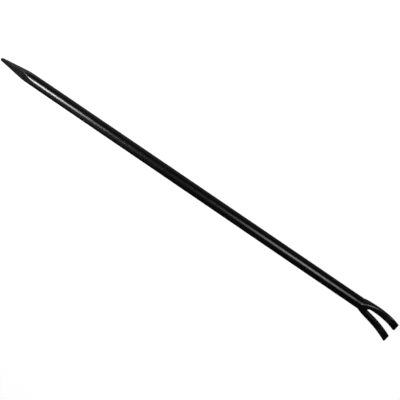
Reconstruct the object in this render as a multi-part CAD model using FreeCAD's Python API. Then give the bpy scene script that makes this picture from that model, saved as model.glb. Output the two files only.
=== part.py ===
import FreeCAD, Part
import math
import os

# A forged steel pry bar in millimetres. +X runs along the bar from the point to the claw, +Z is the way the
# claw's tips curl and +Y is to the left. The origin is under the middle of the bar's length, level with its
# underside. The bar is one forging: its sections are cut square and meet face to face.

Vector = FreeCAD.Vector

# Bar
overall_length = 1000.0      # from the blunt point to the claw's tips
bar_diameter = 25.4

# Four-sided point, with its facets square to Y and Z
point_taper_length = 100.0   # from the tip to where the facets run out on the round bar
point_straight_length = 62.0 # over which they are straight, before they sweep outwards
point_sweep_start = 8.0      # how far the sweep keeps their slope
point_run_out = 24.0         # over which they then lie along the round bar
point_straight_width = 18.0  # across the flats where they stop being straight
point_tip_width = 5.6        # and at the very tip
point_tip_dome = 2.2         # length of the rounded end
point_draw = 0.4             # how far forging has drawn the round down beside the facets

# Shallow hammered flats on the top and underside of the neck
flat_length = 70.0           # from where they start to the heel of the claw
flat_lead_in = 26.0          # the stretch over which they reach their depth
flat_depth = 0.45

# Claw
heel_to_curl = 24.0          # level stretch between the heel and the start of the curl
curl_radius = 62.0           # of the inner face
curl_angle = 51.0            # degrees turned at the tips
tip_width = 48.2             # over both prongs
tip_thickness = 5.2
flare_power = 1.5            # how early the sides widen
thinning_power = 2.2         # how early the back thins
neck_roundness = 2.0         # superellipse power of a round section
prong_squareness = 9.0       # and of a prong's section

# Slot between the prongs
slot_root_radius = 5.3
slot_root_from_heel = 15.0   # from the heel to the end of the slot
slot_half_angle = 3.0        # degrees that each wall opens

# Values that follow from the sizes above
bar_radius = bar_diameter / 2
axis_height = bar_radius
point_x = -overall_length / 2
claw_end_x = overall_length / 2
curl = math.radians(curl_angle)
curl_start_x = claw_end_x - (curl_radius + tip_thickness) * math.sin(curl)
heel_x = curl_start_x - heel_to_curl
flat_start_x = heel_x - flat_length
shank_start_x = point_x + point_taper_length
flat_height = bar_radius - flat_depth
face_height = axis_height + flat_height
claw_path = heel_to_curl + curl_radius * curl
root_centre_x = heel_x + slot_root_from_heel + slot_root_radius
clear = 4 * bar_diameter     # how far cutting tools reach past the bar

sections_along_claw = 24
points_per_section = 48


def box(x_low, x_high, y_low, y_high, z_low, z_high):
    corner = Vector(x_low, y_low, z_low)
    return Part.makeBox(x_high - x_low, y_high - y_low, z_high - z_low, corner)


def facet_profile(side):
    """From the side, one facet's line from the tip and the curve that sweeps it out to the round bar."""
    straight_x = point_x + point_straight_length
    straight_half = point_straight_width / 2
    slope = (straight_half - point_tip_width / 2) / point_straight_length
    outline = [
        (point_x, point_tip_width / 2),
        (straight_x, straight_half),
        (straight_x + point_sweep_start, straight_half + slope * point_sweep_start),
        (shank_start_x - point_run_out, bar_radius),
        (shank_start_x, bar_radius),
    ]
    places = [Vector(x, -clear, side * half) for x, half in outline]
    sweep = Part.BezierCurve()
    sweep.setPoles(places[1:])
    return Part.makeLine(places[0], places[1]), sweep.toShape()


def upright_line(x, half):
    return Part.makeLine(Vector(x, -clear, half), Vector(x, -clear, -half))


def facet_pair():
    """A slab of any width whose top and underside are one pair of the point's facets."""
    top_line, top_sweep = facet_profile(1)
    low_line, low_sweep = facet_profile(-1)
    front = upright_line(point_x, point_tip_width / 2)
    back = upright_line(shank_start_x, bar_radius)
    outline = Part.Wire([top_line, top_sweep, back, low_sweep, low_line, front])
    slab = Part.Face(outline).extrude(Vector(0, 2 * clear, 0))
    slab.translate(Vector(0, 0, axis_height))
    return slab


def drawn_bar():
    """The round bar that the facets are forged on: slightly drawn down, with a rounded end."""
    tip_radius = point_tip_width / math.sqrt(2)
    halfway = math.radians(45)
    crown_x = point_x + point_tip_dome * (1 - math.cos(halfway))
    drawn_x = point_x + point_taper_length / 4
    start = Vector(point_x, 0, axis_height)
    crown = Vector(crown_x, 0, axis_height + tip_radius * math.sin(halfway))
    shoulder = Vector(point_x + point_tip_dome, 0, axis_height + tip_radius)
    drawn = Vector(drawn_x, 0, axis_height + bar_radius - point_draw)
    full = Vector(shank_start_x, 0, axis_height + bar_radius)
    back = Vector(shank_start_x, 0, axis_height)
    edges = [
        Part.Arc(start, crown, shoulder).toShape(),
        Part.makeLine(shoulder, drawn),
        Part.makeLine(drawn, full),
        Part.makeLine(full, back),
        Part.makeLine(back, start),
    ]
    face = Part.Face(Part.Wire(edges))
    return face.revolve(start, Vector(1, 0, 0), 360)


def point():
    side_facets = facet_pair()
    side_facets.rotate(Vector(0, 0, axis_height), Vector(1, 0, 0), 90)
    return facet_pair().common(side_facets).common(drawn_bar())


def shank():
    start = Vector(shank_start_x, 0, axis_height)
    return Part.makeCylinder(bar_radius, flat_start_x - shank_start_x, start, Vector(1, 0, 0))


def inner_face_point(share):
    """The middle of the claw's inner face, and the angle turned there. share is 0 at the heel."""
    travelled = share * claw_path
    turned = max(0.0, travelled - heel_to_curl) / curl_radius
    level = min(travelled, heel_to_curl)
    x = heel_x + level + curl_radius * math.sin(turned)
    z = face_height + curl_radius * (1 - math.cos(turned))
    return x, z, turned


def claw_section(share):
    """One closed section of the claw, square to the inner face. share is 0 at the heel and 1 at the tips."""
    x, z, turned = inner_face_point(share)
    left = 1 - share
    half_width = tip_width / 2 - (tip_width / 2 - bar_radius) * left**flare_power
    half_thickness = (tip_thickness + (bar_diameter - tip_thickness) * left**thinning_power) / 2
    squareness = prong_squareness + (neck_roundness - prong_squareness) * left**2
    limit = min(half_thickness, flat_height)
    middle = Vector(x + limit * math.sin(turned), 0, z - limit * math.cos(turned))
    return section(middle, turned, half_width, half_thickness, squareness, limit)


def bar_section(x, limit):
    """One closed section of the round bar, with flats that far above and below its axis."""
    return section(Vector(x, 0, axis_height), 0, bar_radius, bar_radius, neck_roundness, limit)


def section(middle, turned, half_width, half_thickness, squareness, limit):
    """A superellipse about a point of the middle plane, leaning back by an angle and cut flat at a limit."""
    points = []
    for step in range(points_per_section):
        angle = 2 * math.pi * step / points_per_section
        across = half_width * signed_power(math.cos(angle), 2 / squareness)
        up = half_thickness * signed_power(math.sin(angle), 2 / squareness)
        up = max(-limit, min(limit, up))
        points.append(middle + Vector(-up * math.sin(turned), across, up * math.cos(turned)))
    curve = Part.BSplineCurve()
    curve.interpolate(Points=points, PeriodicFlag=True)
    return Part.Wire(curve.toShape())


def signed_power(value, power):
    return math.copysign(abs(value) ** power, value)


def slot_cutter():
    """The slot seen from above: a round root and two walls that open towards the tips."""
    opening = math.radians(slot_half_angle)
    touch_x = root_centre_x - slot_root_radius * math.sin(opening)
    touch_y = slot_root_radius * math.cos(opening)
    mouth_x = claw_end_x + clear
    mouth_y = touch_y + (mouth_x - touch_x) * math.tan(opening)
    low = -clear
    root = Vector(root_centre_x - slot_root_radius, 0, low)
    touch = [Vector(touch_x, side * touch_y, low) for side in (1, -1)]
    mouth = [Vector(mouth_x, side * mouth_y, low) for side in (1, -1)]
    edges = [
        Part.Arc(touch[0], root, touch[1]).toShape(),
        Part.makeLine(touch[1], mouth[1]),
        Part.makeLine(mouth[1], mouth[0]),
        Part.makeLine(mouth[0], touch[0]),
    ]
    return Part.Face(Part.Wire(edges)).extrude(Vector(0, 0, 3 * clear))


def forged_claw():
    """The whole claw end, from the start of the flats to the tips, with the slot cut."""
    sections = [bar_section(flat_start_x, bar_radius), bar_section(flat_start_x + flat_lead_in, flat_height)]
    sections += [claw_section(step / sections_along_claw) for step in range(sections_along_claw + 1)]
    return Part.makeLoft(sections, True, True).cut(slot_cutter())


def save(name, shape):
    solids = shape.Solids
    print(name, len(solids), "solid(s)", round(shape.Volume / 1000, 2), "cm3", shape.isValid())
    Part.makeCompound(solids).exportStep(f"parts/{name}.step")


def main():
    os.makedirs("parts", exist_ok=True)
    claw = forged_claw()
    behind = (-clear, clear)
    save("point", point())
    save("shank", shank())
    save("neck", claw.common(box(flat_start_x, root_centre_x, *behind, *behind)))
    left_prong = claw.common(box(root_centre_x, claw_end_x + clear, 0, clear, *behind))
    save("left_prong", left_prong)
    save("right_prong", left_prong.mirror(Vector(0, 0, 0), Vector(0, 1, 0)))


main()
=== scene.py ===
import math

import bmesh
import bpy
from mathutils import Matrix, Vector, bvhtree, interpolate, noise


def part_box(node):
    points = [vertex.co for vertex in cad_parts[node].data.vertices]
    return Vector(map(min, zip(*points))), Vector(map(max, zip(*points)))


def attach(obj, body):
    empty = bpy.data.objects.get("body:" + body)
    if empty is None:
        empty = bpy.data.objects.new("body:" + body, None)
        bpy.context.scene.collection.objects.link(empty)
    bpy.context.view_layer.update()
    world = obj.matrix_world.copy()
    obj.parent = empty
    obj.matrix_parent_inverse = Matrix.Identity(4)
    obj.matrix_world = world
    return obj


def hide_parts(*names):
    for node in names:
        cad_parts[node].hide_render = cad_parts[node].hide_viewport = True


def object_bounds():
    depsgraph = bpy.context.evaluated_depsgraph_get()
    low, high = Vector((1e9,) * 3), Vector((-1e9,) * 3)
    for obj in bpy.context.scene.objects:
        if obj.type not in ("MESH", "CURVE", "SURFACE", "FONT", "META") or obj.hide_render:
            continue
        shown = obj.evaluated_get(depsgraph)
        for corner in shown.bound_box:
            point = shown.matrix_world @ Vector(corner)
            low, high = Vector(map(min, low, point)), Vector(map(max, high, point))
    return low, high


# A forged steel pry bar: a round shank with a four-sided point at one end and a curled, slotted claw at the
# other, in satin black. Lengths are in metres. +X runs from the point to the claw, and +Z is the way the
# claw's tips curl. The claw's skin is grown over its CAD sections. The point and the shank are closed skins
# of rings about the bar's axis, to the CAD model's sizes.

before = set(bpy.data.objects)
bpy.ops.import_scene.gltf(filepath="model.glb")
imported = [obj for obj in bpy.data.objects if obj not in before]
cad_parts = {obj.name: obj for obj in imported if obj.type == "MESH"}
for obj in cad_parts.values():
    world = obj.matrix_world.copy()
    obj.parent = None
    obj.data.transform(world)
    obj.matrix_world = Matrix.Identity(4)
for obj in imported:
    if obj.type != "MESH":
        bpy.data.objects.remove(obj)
cad_low, cad_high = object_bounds()

# ---- sizes taken from the frame --------------------------------------------------------------------------

SHANK_LOW, SHANK_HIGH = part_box("shank")
BAR_RADIUS = (SHANK_HIGH[2] - SHANK_LOW[2]) / 2
AXIS_HEIGHT = (SHANK_HIGH[2] + SHANK_LOW[2]) / 2
TIP_X = cad_low[0]
POINT_END_X = SHANK_LOW[0]
POINT_LENGTH = POINT_END_X - TIP_X
NECK_START_X = SHANK_HIGH[0]
PRONG_START_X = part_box("neck")[1][0]

# ---- sizes of the skins ----------------------------------------------------------------------------------

CLAW_VOXEL = 0.0004          # grain of the claw's skin
SMOOTHING_ROUNDS = 18
SMOOTHING_FACTOR = 0.5
STUB = 0.02                  # spare bar behind the neck, so that the skin's cut end is true
SHANK_RING_STEP = 0.004      # spacing of the rings
POINT_RING_STEP = 0.001
RING_SIDES = 256

# The point's facets, as in the CAD model
POINT_TIP_HALF = 0.0028      # half the width across the flats at the tip
POINT_STRAIGHT = 0.062       # length of the straight part of a facet
POINT_STRAIGHT_HALF = 0.009  # half the width where that ends
POINT_SWEEP_START = 0.008
POINT_RUN_OUT = 0.024
POINT_DRAW = 0.0004          # how far the round is drawn down beside the facets
POINT_DOME = 0.0022          # length of the rounded end

POINT_RIDGE_BLEND = 0.0011   # how softly facet meets facet
POINT_EDGE_BLEND = 0.0005    # and facet meets bar
POINT_BLEND_END = 0.2        # share of the point's length over which that second blend dies out
SWEEP_STEPS = 60
DOME_RINGS = 8

HAMMER_SCALE = 0.019         # spacing of the hammer's marks on the forged ends
HAMMER_DEPTH = 0.00022
ROLL_SCALE = 0.035           # spacing of the faint unevenness of the rolled bar, across it
ROLL_STRETCH = 3             # and how much longer that is along the bar
ROLL_DEPTH = 0.00005
FADE = 0.05                  # length over which the marks die out along the shank

CUT_WELD = 1e-7              # distance at which a cut treats a vertex as lying on its plane
ON_PLANE = 1e-6              # and at which shading does
NEARLY_ZERO = 1e-9


def smoothstep(value):
    value = max(0.0, min(1.0, value))
    return value * value * (3 - 2 * value)


def forging_depth(co):
    """How far the forged surface lies under the nominal one at a place."""
    into_neck = smoothstep((co.x - (NECK_START_X - FADE)) / FADE)
    into_point = smoothstep(((POINT_END_X + FADE) - co.x) / FADE)
    worked = max(into_neck, into_point)
    rolled_place = Vector((co.x / ROLL_STRETCH, co.y, co.z)) / ROLL_SCALE
    hammered = 0.5 + 0.5 * noise.noise(co / HAMMER_SCALE)
    rolled = 0.5 + 0.5 * noise.noise(rolled_place)
    return worked * HAMMER_DEPTH * hammered + (1 - worked) * ROLL_DEPTH * rolled


def forge(mesh):
    """Sinks every vertex by the depth of the forging there."""
    moves = [vertex.normal * -forging_depth(vertex.co) for vertex in mesh.vertices]
    for vertex, move in zip(mesh.vertices, moves):
        vertex.co += move


# ---- mesh tools ------------------------------------------------------------------------------------------

def new_object(name, data):
    obj = bpy.data.objects.new(name, data)
    bpy.context.scene.collection.objects.link(obj)
    return obj


def mesh_object(name, bm):
    """An object from a bmesh, which it uses up."""
    mesh = bpy.data.meshes.new(name)
    bm.to_mesh(mesh)
    bm.free()
    return new_object(name, mesh)


def round_stub(low_x, high_x):
    """A closed length of plain bar."""
    bm = bmesh.new()
    middle = Matrix.Translation(((low_x + high_x) / 2, 0, AXIS_HEIGHT))
    lying = Matrix.Rotation(math.pi / 2, 4, "Y")
    bmesh.ops.create_cone(
        bm,
        cap_ends=True,
        segments=RING_SIDES,
        radius1=BAR_RADIUS,
        radius2=BAR_RADIUS,
        depth=high_x - low_x,
        matrix=middle @ lying,
    )
    return bm


def joined_copy(name, nodes, stub):
    """One new mesh from copies of CAD nodes and a stub of bar."""
    bm = round_stub(*stub)
    for node in nodes:
        bm.from_mesh(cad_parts[node].data)
    return mesh_object(name, bm)


def apply_modifiers(obj):
    graph = bpy.context.evaluated_depsgraph_get()
    graph.update()
    mesh = bpy.data.meshes.new_from_object(obj.evaluated_get(graph))
    obj.modifiers.clear()
    obj.data = mesh


def rebuild(obj, voxel):
    """Grows one even skin over the joined sections, with softly rounded edges, and hammers it."""
    remesh = obj.modifiers.new("skin", "REMESH")
    remesh.mode = "VOXEL"
    remesh.voxel_size = voxel
    smooth = obj.modifiers.new("soften", "SMOOTH")
    smooth.factor = SMOOTHING_FACTOR
    smooth.iterations = SMOOTHING_ROUNDS
    apply_modifiers(obj)
    forge(obj.data)


def section_between(source, name, planes):
    """A closed piece of a skin. planes holds (point, outward normal) pairs, and what lies past them goes."""
    bm = bmesh.new()
    bm.from_mesh(source.data)
    for point, outward in planes:
        geometry = bm.verts[:] + bm.edges[:] + bm.faces[:]
        cut = bmesh.ops.bisect_plane(
            bm, geom=geometry, dist=CUT_WELD, plane_co=point, plane_no=outward, clear_outer=True
        )
        rim = [item for item in cut["geom_cut"] if isinstance(item, bmesh.types.BMEdge)]
        bmesh.ops.holes_fill(bm, edges=rim, sides=0)
    return mesh_object(name, bm)


def shade(obj, planes, normal_at):
    """Smooth shading. Along the cut planes it carries the uncut skin's normals, so that joins don't show."""
    mesh = obj.data
    mesh.shade_smooth()
    on_cut = set()
    for point, outward in planes:
        on_cut |= {v.index for v in mesh.vertices if abs((v.co - point).dot(outward)) < ON_PLANE}
    rim_normals = {index: normal_at(mesh.vertices[index].co) for index in on_cut}
    normals = [vertex.normal.copy() for vertex in mesh.vertices]
    loop_normals = [None] * len(mesh.loops)
    for face in mesh.polygons:
        capping = all(index in on_cut for index in face.vertices)
        for loop in face.loop_indices:
            index = mesh.loops[loop].vertex_index
            if capping:
                loop_normals[loop] = face.normal.copy()
            else:
                loop_normals[loop] = rim_normals.get(index, normals[index])
    mesh.normals_split_custom_set(loop_normals)


def skin_normals(skin):
    """A function that gives a skin's smooth normal at any place on it."""
    mesh = skin.data
    corners_of = [face.vertices[:] for face in mesh.polygons]
    tree = bvhtree.BVHTree.FromPolygons([vertex.co for vertex in mesh.vertices], corners_of)

    def normal_at(co):
        place, _, face, _ = tree.find_nearest(co)
        corners = corners_of[face]
        weights = interpolate.poly_3d_calc([mesh.vertices[i].co for i in corners], place)
        total = Vector((0, 0, 0))
        for index, weight in zip(corners, weights):
            total += mesh.vertices[index].normal * weight
        return total.normalized()

    return normal_at


def radial_normal(co):
    """The normal of a round bar at a place on it."""
    return Vector((0, co.y, co.z - AXIS_HEIGHT)).normalized()


def finish_piece(obj, material, node):
    """Gives a piece its finish, and lets it stand for its CAD node."""
    obj.data.materials.clear()
    obj.data.materials.append(material)
    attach(obj, "root")
    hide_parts(node)


# ---- pieces ----------------------------------------------------------------------------------------------

def across_x(x, sign):
    """A cut square to the bar. What lies past it, in the direction of the sign, goes."""
    return Vector((x, 0, 0)), Vector((sign, 0, 0))


def make_claw(material):
    """Neck and prongs, cut from one skin so that the joins don't show."""
    sections = ("neck", "left_prong", "right_prong")
    blank = joined_copy("claw_blank", sections, (NECK_START_X - STUB, NECK_START_X))
    rebuild(blank, CLAW_VOXEL)
    normal_at = skin_normals(blank)
    middle = Vector((0, 0, 0))
    cuts = {
        "neck": [across_x(NECK_START_X, -1), across_x(PRONG_START_X, 1)],
        "left_prong": [across_x(PRONG_START_X, -1), (middle, Vector((0, -1, 0)))],
        "right_prong": [across_x(PRONG_START_X, -1), (middle, Vector((0, 1, 0)))],
    }
    for node, planes in cuts.items():
        piece = section_between(blank, node + "_skin", planes)
        shade(piece, planes, normal_at)
        finish_piece(piece, material, node)
    bpy.data.objects.remove(blank)


def smooth_min(first, second, blend):
    """The smaller of two lengths, with the corner between them rounded off."""
    overlap = max(blend - abs(first - second), 0.0) / blend
    return min(first, second) - overlap * overlap * blend / 4


def facet_curve():
    """How far the point's facets stand from the axis, as (distance from the tip, half width) pairs."""
    steps = round(POINT_STRAIGHT / POINT_RING_STEP)
    slope = (POINT_STRAIGHT_HALF - POINT_TIP_HALF) / POINT_STRAIGHT
    straight = [POINT_STRAIGHT * k / steps for k in range(steps)]
    pairs = [(from_tip, POINT_TIP_HALF + slope * from_tip) for from_tip in straight]
    poles = (
        Vector((POINT_STRAIGHT, POINT_STRAIGHT_HALF)),
        Vector((POINT_STRAIGHT + POINT_SWEEP_START, POINT_STRAIGHT_HALF + slope * POINT_SWEEP_START)),
        Vector((POINT_LENGTH - POINT_RUN_OUT, BAR_RADIUS)),
        Vector((POINT_LENGTH, BAR_RADIUS)),
    )
    for k in range(SWEEP_STEPS + 1):
        t = k / SWEEP_STEPS
        weights = ((1 - t) ** 3, 3 * t * (1 - t) ** 2, 3 * t * t * (1 - t), t ** 3)
        place = sum((pole * weight for pole, weight in zip(poles, weights)), Vector((0, 0)))
        pairs.append((place.x, place.y))
    return pairs


def point_radius(from_tip, half, angle):
    """How far the point's skin stands from the axis: four facets on a slightly drawn bar, with soft edges."""
    left = 1 - from_tip / POINT_LENGTH
    bar = BAR_RADIUS - POINT_DRAW * left
    side = half / max(abs(math.cos(angle)), NEARLY_ZERO)
    face = half / max(abs(math.sin(angle)), NEARLY_ZERO)
    square = smooth_min(side, face, POINT_RIDGE_BLEND)
    return smooth_min(square, bar, POINT_EDGE_BLEND * min(1.0, left / POINT_BLEND_END) + NEARLY_ZERO)


def ring_skin(name, stations, radius_at):
    """A closed skin of rings about the axis, one at each station (x, shape of the section there)."""
    bm = bmesh.new()
    rings = []
    for x, shape in stations:
        ring = []
        for side in range(RING_SIDES):
            angle = 2 * math.pi * side / RING_SIDES
            out = Vector((0, math.cos(angle), math.sin(angle)))
            co = Vector((x, 0, AXIS_HEIGHT)) + out * radius_at(shape, angle)
            ring.append(bm.verts.new(co - out * forging_depth(co)))
        rings.append(ring)
    for near, far in zip(rings, rings[1:]):
        for side in range(RING_SIDES):
            after = (side + 1) % RING_SIDES
            bm.faces.new((near[side], near[after], far[after], far[side]))
    for ring in (rings[0], rings[-1]):
        bm.faces.new(ring)
    bmesh.ops.recalc_face_normals(bm, faces=bm.faces)
    return mesh_object(name, bm)


def make_point(material):
    """The four-sided point. Near the tip its rings shrink to a rounded end."""
    stations = []
    for k in range(1, DOME_RINGS):
        angle = math.pi / 2 * k / DOME_RINGS
        x = TIP_X + POINT_DOME * (1 - math.cos(angle))
        stations.append((x, (POINT_DOME, POINT_TIP_HALF, math.sin(angle))))
    for from_tip, half in facet_curve():
        if from_tip >= POINT_DOME:
            stations.append((TIP_X + from_tip, (from_tip, half, 1.0)))

    def radius_at(shape, angle):
        from_tip, half, scale = shape
        return point_radius(from_tip, half, angle) * scale

    piece = ring_skin("point_skin", stations, radius_at)
    shade(piece, [across_x(POINT_END_X, 1)], radial_normal)
    finish_piece(piece, material, "point")


def make_shank(material):
    """The rolled bar."""
    length = NECK_START_X - POINT_END_X
    steps = round(length / SHANK_RING_STEP)
    stations = [(POINT_END_X + length * k / steps, None) for k in range(steps + 1)]
    piece = ring_skin("shank_skin", stations, lambda shape, angle: BAR_RADIUS)
    shade(piece, [across_x(POINT_END_X, -1), across_x(NECK_START_X, 1)], radial_normal)
    finish_piece(piece, material, "shank")


# ---- material --------------------------------------------------------------------------------------------

STEEL_DARK = (0.0018, 0.0018, 0.0019, 1)   # the finish varies between two near-blacks
STEEL_PALE = (0.0045, 0.0045, 0.0046, 1)
STEEL_IOR = 1.5
TONE_SCALE = 60              # clouds of tone, gloss and grain, each finer than the one before
TONE_DETAIL = 6
GLOSS_SCALE = 140
GLOSS_DETAIL = 5
ROUGHNESS_RANGE = (0.22, 0.30)
GRAIN_SCALE = 420
GRAIN_DETAIL = 6
GRAIN_STRENGTH = 0.08
GRAIN_DEPTH = 0.0004
CLOUD_RANGE = (0.3, 0.7)     # the values between which a cloud's noise mostly lies


def make_black_steel():
    """Satin black finish over forged steel: uneven in tone and gloss, with fine scale under it."""
    material = bpy.data.materials.new("black_steel")
    material.use_nodes = True
    nodes = material.node_tree.nodes
    links = material.node_tree.links
    shader = nodes["Principled BSDF"]
    shader.inputs["Metallic"].default_value = 0.0
    shader.inputs["IOR"].default_value = STEEL_IOR

    place = nodes.new("ShaderNodeTexCoord")

    def cloud(scale, detail):
        texture = nodes.new("ShaderNodeTexNoise")
        texture.inputs["Scale"].default_value = scale
        texture.inputs["Detail"].default_value = detail
        links.new(place.outputs["Object"], texture.inputs["Vector"])
        return texture.outputs["Fac"]

    def stretched(source, low, high):
        node = nodes.new("ShaderNodeMapRange")
        node.inputs["From Min"].default_value = CLOUD_RANGE[0]
        node.inputs["From Max"].default_value = CLOUD_RANGE[1]
        node.inputs["To Min"].default_value = low
        node.inputs["To Max"].default_value = high
        links.new(source, node.inputs["Value"])
        return node.outputs["Result"]

    tone = nodes.new("ShaderNodeMix")
    tone.data_type = "RGBA"
    tone.inputs["A"].default_value = STEEL_DARK
    tone.inputs["B"].default_value = STEEL_PALE
    links.new(stretched(cloud(TONE_SCALE, TONE_DETAIL), 0, 1), tone.inputs["Factor"])
    links.new(tone.outputs["Result"], shader.inputs["Base Color"])

    gloss = stretched(cloud(GLOSS_SCALE, GLOSS_DETAIL), *ROUGHNESS_RANGE)
    links.new(gloss, shader.inputs["Roughness"])

    bump = nodes.new("ShaderNodeBump")
    bump.inputs["Strength"].default_value = GRAIN_STRENGTH
    bump.inputs["Distance"].default_value = GRAIN_DEPTH
    links.new(cloud(GRAIN_SCALE, GRAIN_DETAIL), bump.inputs["Height"])
    links.new(bump.outputs["Normal"], shader.inputs["Normal"])
    return material


# ---- stage, lights and camera ----------------------------------------------------------------------------

# The camera looks down on the bar, turned about its own line of sight so that the bar lies across the frame.
CAMERA_DISTANCE = 1.280
CAMERA_LEAN = math.radians(27.0)      # from straight above, towards +Y
CAMERA_SWING = math.radians(4.5)      # and towards the claw
CAMERA_ROLL = math.radians(34.28)     # of the bar's line below the frame's horizontal
CAMERA_CLIP_START = 0.05
AIM_X = 0.0305                        # the place on the bar's axis that the camera is squared to
AIM_DROP = 0.0105                     # how far below the axis, as framed, the camera aims
SENSOR_WIDTH = 36                     # millimetres
FOCAL_PER_SENSOR = 1.52288            # focal length as a share of the sensor's width

LIGHT_AIM = 0.5                       # lights aim at this share of their own distance along the bar
NO_LIMIT = 180                        # spread of a panel that shines to all sides, in degrees


def view_axes():
    """Right along the bar, down the frame, and back towards the camera, before the roll."""
    back = Vector((
        math.sin(CAMERA_SWING),
        math.cos(CAMERA_SWING) * math.sin(CAMERA_LEAN),
        math.cos(CAMERA_SWING) * math.cos(CAMERA_LEAN),
    ))
    down = Vector((0, -math.cos(CAMERA_LEAN), math.sin(CAMERA_LEAN)))
    right = back.cross(down)
    return right, down, back


def placing(place, side, up, back):
    """The matrix of an object at a place, with its own axes along the three given ones."""
    return Matrix.Translation(place) @ Matrix((side, up, back)).transposed().to_4x4()


def make_camera():
    right, down, back = view_axes()
    frame_right = right * math.cos(CAMERA_ROLL) - down * math.sin(CAMERA_ROLL)
    frame_down = right * math.sin(CAMERA_ROLL) + down * math.cos(CAMERA_ROLL)
    aim = Vector((AIM_X, 0, AXIS_HEIGHT)) + down * AIM_DROP
    camera = bpy.data.cameras.new("camera")
    camera.sensor_width = SENSOR_WIDTH
    camera.lens = SENSOR_WIDTH * FOCAL_PER_SENSOR
    camera.clip_start = CAMERA_CLIP_START
    obj = new_object("camera", camera)
    obj.matrix_world = placing(aim + back * CAMERA_DISTANCE, frame_right, -frame_down, back)
    bpy.context.scene.camera = obj


def soft_panel(name, along, lean, distance, size, watts, spread=NO_LIMIT):
    """A soft light facing the bar, with its long side along it.

    lean is in degrees about the bar, from the camera's side and down the frame. size is along and across it.
    """
    _, down, camera_side = view_axes()
    out = camera_side * math.cos(math.radians(lean)) + down * math.sin(math.radians(lean))
    place = Vector((along, 0, AXIS_HEIGHT)) + out * distance
    target = Vector((along * LIGHT_AIM, 0, AXIS_HEIGHT))
    back = (place - target).normalized()
    side = Vector((1, 0, 0))
    side = (side - back * side.dot(back)).normalized()
    light = bpy.data.lights.new(name, "AREA")
    light.shape = "RECTANGLE"
    light.size, light.size_y = size
    light.energy = watts
    light.spread = math.radians(spread)
    new_object(name, light).matrix_world = placing(place, side, back.cross(side), back)


def make_lights():
    soft_panel("point_light", along=-1.0, lean=12, distance=1.1, size=(0.4, 0.5), watts=3.6, spread=75)
    soft_panel("middle_light", along=0.16, lean=1.5, distance=1.25, size=(0.3, 0.55), watts=1.35)
    soft_panel("claw_light", along=0.37, lean=-4, distance=1.25, size=(0.35, 0.6), watts=4.3)
    soft_panel("left_fill", along=-0.95, lean=65, distance=1.2, size=(0.9, 0.8), watts=0.09, spread=60)


FLOOR_RADIUS = 8
FLOOR_SIDES = 96
FLOOR_GAP = 0.0002           # between the floor and the bar's underside
FLOOR_COLOUR = (0.12, 0.12, 0.12, 1)
FLOOR_ROUGHNESS = 0.9
FLOOR_BRIGHTNESS = 0.96

BACKDROP = 0.97              # brightness behind the floor, as the camera sees it
ROOM_GLOW = 0.018            # the rest is what light and gloss see
GLOW_PAST_POINT = 0.27       # below the horizon on the +Y side, towards the point
GLOW_PAST_CLAW = 0.10        # and towards the claw
GLOW_RIGHT = 0.04            # below the horizon on the -Y side


def make_floor():
    """A plain pale floor, which the bar's gloss doesn't pick up."""
    bm = bmesh.new()
    bmesh.ops.create_circle(bm, cap_ends=True, segments=FLOOR_SIDES, radius=FLOOR_RADIUS)
    floor = mesh_object("floor", bm)
    floor.location.z = cad_low[2] - FLOOR_GAP
    floor.visible_glossy = False
    floor.visible_diffuse = False
    material = bpy.data.materials.new("floor")
    material.use_nodes = True
    shader = material.node_tree.nodes["Principled BSDF"]
    shader.inputs["Base Color"].default_value = FLOOR_COLOUR
    shader.inputs["Roughness"].default_value = FLOOR_ROUGHNESS
    shader.inputs["Emission Color"].default_value = (1, 1, 1, 1)
    shader.inputs["Emission Strength"].default_value = FLOOR_BRIGHTNESS
    floor.data.materials.append(material)


def make_world():
    """White for the camera. Light and gloss see a dim room, and a floor that is palest past the point."""
    world = bpy.data.worlds.new("studio")
    world.use_nodes = True
    nodes = world.node_tree.nodes
    links = world.node_tree.links
    direction = nodes.new("ShaderNodeSeparateXYZ")
    links.new(nodes.new("ShaderNodeTexCoord").outputs["Generated"], direction.inputs["Vector"])

    def turning(axis, start, end, low, high):
        """Goes softly from low to high while a direction's share along an axis goes from start to end."""
        node = nodes.new("ShaderNodeMapRange")
        node.interpolation_type = "SMOOTHSTEP"
        node.inputs["From Min"].default_value = start
        node.inputs["From Max"].default_value = end
        node.inputs["To Min"].default_value = low
        node.inputs["To Max"].default_value = high
        links.new(direction.outputs[axis], node.inputs["Value"])
        return node.outputs["Result"]

    def mixed(factor, low, high):
        """From low at factor 0 to high at 1, each a number or another node's output."""
        node = nodes.new("ShaderNodeMix")
        links.new(factor, node.inputs["Factor"])
        for socket, value in ((node.inputs["A"], low), (node.inputs["B"], high)):
            if isinstance(value, float):
                socket.default_value = value
            else:
                links.new(value, socket)
        return node.outputs["Result"]

    left_glow = turning("X", -0.5, 0.3, GLOW_PAST_POINT, GLOW_PAST_CLAW)
    floor_glow = mixed(turning("Y", -0.2, 0.3, 0.0, 1.0), GLOW_RIGHT, left_glow)
    room = mixed(turning("Z", -0.25, 0.05, 1.0, 0.0), ROOM_GLOW, floor_glow)
    camera_ray = nodes.new("ShaderNodeLightPath").outputs["Is Camera Ray"]
    links.new(mixed(camera_ray, room, BACKDROP), nodes["Background"].inputs["Color"])
    bpy.context.scene.world = world


make_camera()
make_lights()
make_floor()
make_world()
bpy.context.scene.view_settings.view_transform = "Standard"

black_steel = make_black_steel()
make_claw(black_steel)
make_point(black_steel)
make_shank(black_steel)
